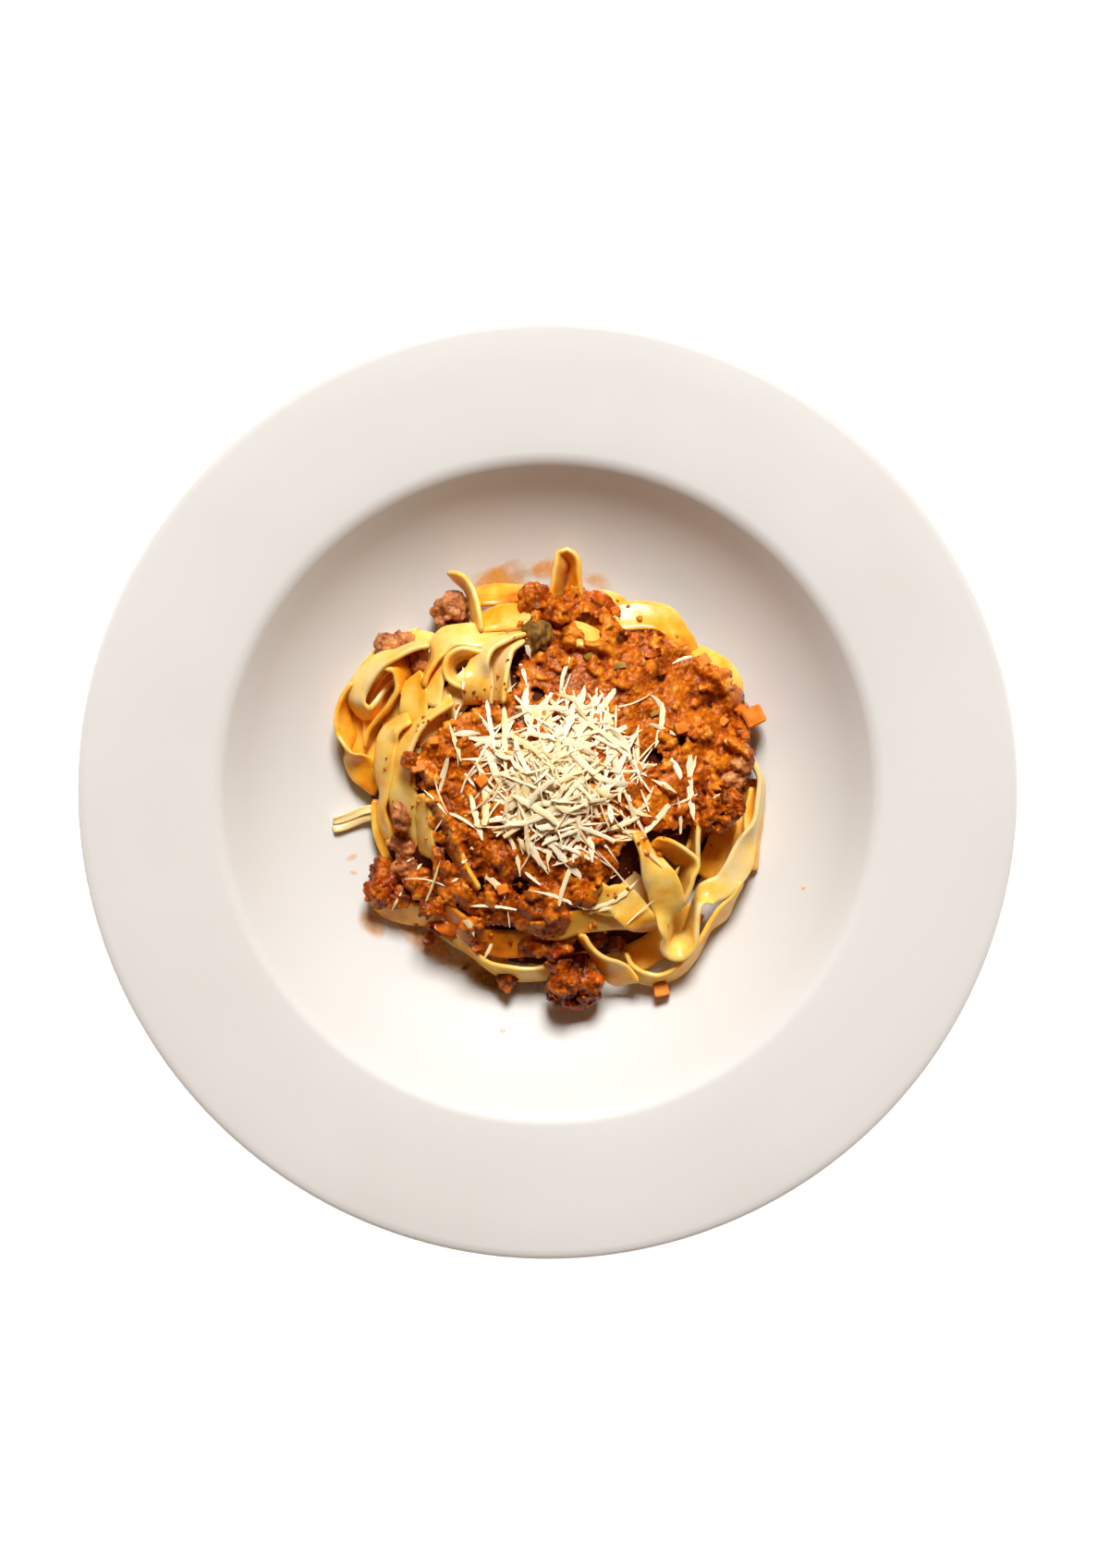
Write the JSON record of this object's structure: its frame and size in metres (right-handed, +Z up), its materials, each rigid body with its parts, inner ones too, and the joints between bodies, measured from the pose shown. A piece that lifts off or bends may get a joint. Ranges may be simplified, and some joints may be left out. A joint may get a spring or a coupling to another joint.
{
  "type": "plated pasta dish",
  "caption": "Fettuccine with bolognese sauce and grated cheese, heaped in the well of a wide-rimmed porcelain pasta bowl.",
  "frame": {"origin": "centre of the foot ring, on the surface the bowl stands on", "axes": "+Z up out of the bowl; +Y towards the back of the dish, +X to its right as it is served"},
  "size_m": [0.275, 0.275, 0.0527],
  "materials": {
    "porcelain": "glazed, glossy",
    "egg_pasta": "moist, satin",
    "meat_sauce": "oily, uneven",
    "hard_cheese": "soft, matte",
    "browned_mince": "oily, uneven",
    "dark_mushroom": "moist",
    "carrot": "moist"
  },
  "bodies": {
    "root": {"bowl": "porcelain", "pasta": "egg_pasta", "meat_sauce": "meat_sauce", "grated_cheese": "hard_cheese", "meat_clump_back": "browned_mince", "meat_clump_left": "browned_mince", "meat_clump_low_left": "browned_mince", "meat_clump_front": "browned_mince", "meat_clump_right": "browned_mince", "mushroom_piece": "dark_mushroom", "carrot_loose": "carrot", "carrot_edge": "carrot"}
  },
  "joints": []
}
